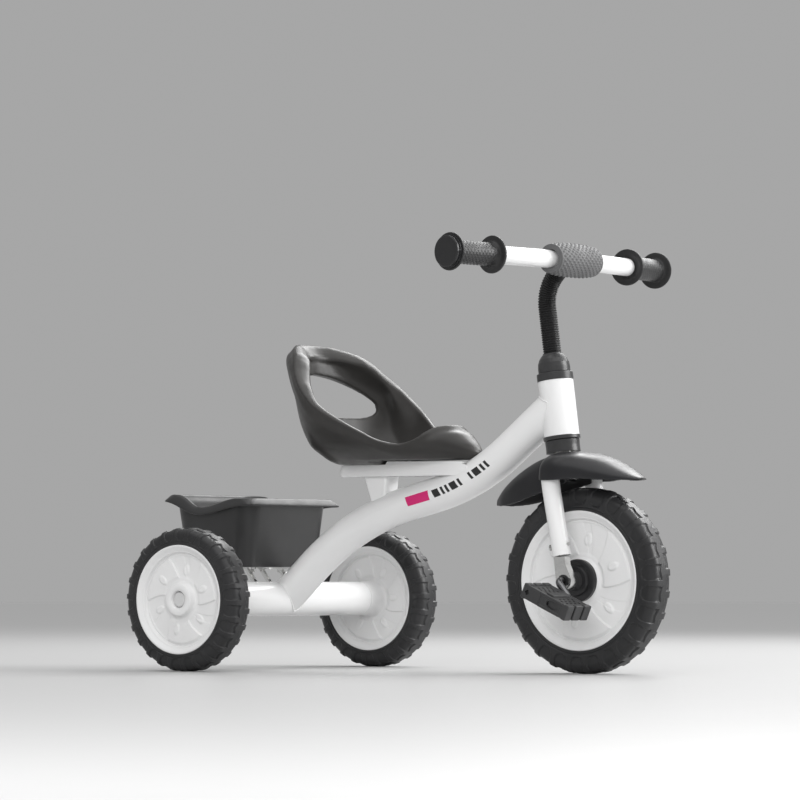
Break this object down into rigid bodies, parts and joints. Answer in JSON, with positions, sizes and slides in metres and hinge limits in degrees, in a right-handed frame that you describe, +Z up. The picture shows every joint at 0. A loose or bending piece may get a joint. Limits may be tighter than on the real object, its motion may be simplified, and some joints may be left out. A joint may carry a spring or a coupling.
{
  "type": "children's tricycle",
  "caption": "Children's tricycle with a swept steering assembly, direct pedal drive, bucket seat with a handle opening and a rear basket.",
  "frame": {"origin": "on the floor under the middle of the overall box, wheels resting on Z=0", "axes": "+X forward, +Y to the rider's left, +Z up"},
  "size_m": [0.7886, 0.4978, 0.5802],
  "materials": {
    "white_paint": "gloss white powder coat",
    "tyre_foam": "satin black moulded tyre",
    "wheel_plastic": "white moulded plastic",
    "seat_plastic": "charcoal moulded plastic",
    "basket_plastic": "dark grey moulded plastic",
    "fender_plastic": "gloss black plastic",
    "bright_plating": "chrome plate",
    "zinc_steel": "zinc plated steel",
    "cap_grey": "light grey cap",
    "grip_rubber": "textured dark grip",
    "pad_rubber": "diamond pattern dark grey pad",
    "black_steel": "black coated steel",
    "black_plastic": "satin black plastic"
  },
  "bodies": {
    "frame": {"axle_tube_plugs": "white_paint", "basket": "basket_plastic", "basket_bolts": "zinc_steel", "basket_bracket": "white_paint", "head_tube": "white_paint", "headset_bush_lower": "black_plastic", "headset_bush_upper": "black_plastic", "main_tube": "white_paint", "rear_axle_caps": "cap_grey", "rear_axle_rod": "zinc_steel", "rear_axle_tube": "white_paint", "rear_axle_washers": "zinc_steel", "seat": "seat_plastic", "seat_bolts": "zinc_steel", "seat_gusset": "white_paint", "seat_plate": "white_paint", "seat_riser": "white_paint"},
    "steering": {"steerer_tube": "zinc_steel", "lower_headset_cup": "black_plastic", "headset_cap": "black_plastic", "stem_tube": "zinc_steel", "stem_sleeve": "black_plastic", "handlebar_tube": "white_paint", "bar_pad": "pad_rubber", "grip_left": "grip_rubber", "grip_right": "grip_rubber", "bar_end_cap_left": "grip_rubber", "bar_end_cap_right": "grip_rubber", "fork_crown": "white_paint", "fork_leg_left": "white_paint", "fork_leg_right": "white_paint", "fork_leg_bolts": "zinc_steel", "dropout_left": "bright_plating", "dropout_right": "bright_plating", "front_axle_bushes": "black_plastic", "fender": "fender_plastic"},
    "front_wheel": {"front_tyre": "tyre_foam", "front_disc_left": "wheel_plastic", "front_disc_right": "wheel_plastic", "front_hub_left": "black_plastic", "front_hub_right": "black_plastic", "crankshaft": "black_steel", "pedal_push_nuts": "zinc_steel"},
    "pedal_right": {"pedal_right": "black_plastic"},
    "pedal_left": {"pedal_left": "black_plastic"},
    "rear_wheel_right": {"rear_disc_inner_right": "wheel_plastic", "rear_disc_outer_right": "wheel_plastic", "rear_tyre_right": "tyre_foam"},
    "rear_wheel_left": {"rear_disc_inner_left": "wheel_plastic", "rear_disc_outer_left": "wheel_plastic", "rear_tyre_left": "tyre_foam"}
  },
  "joints": [
    {"name": "steering_turn", "type": "hinge", "parent": "frame", "child": "steering", "pos_m": [0.2279, 0, 0.3183], "axis": [-0.1346, 0, 0.9909], "range_deg": [-45, 45]},
    {"name": "front_wheel_spin", "type": "hinge", "parent": "steering", "child": "front_wheel", "pos_m": [0.2699, 0, 0.1244], "axis": [0, 1, 0], "continuous": true},
    {"name": "pedal_right_spin", "type": "hinge", "parent": "front_wheel", "child": "pedal_right", "pos_m": [0.29259, -0.105, 0.09697], "axis": [0, 1, 0], "continuous": true},
    {"name": "pedal_left_spin", "type": "hinge", "parent": "front_wheel", "child": "pedal_left", "pos_m": [0.24721, 0.105, 0.15183], "axis": [0, 1, 0], "continuous": true},
    {"name": "rear_wheel_right_spin", "type": "hinge", "parent": "frame", "child": "rear_wheel_right", "pos_m": [-0.2504, -0.2117, 0.0983], "axis": [0, 1, 0], "continuous": true},
    {"name": "rear_wheel_left_spin", "type": "hinge", "parent": "frame", "child": "rear_wheel_left", "pos_m": [-0.2504, 0.2117, 0.0983], "axis": [0, 1, 0], "continuous": true}
  ]
}
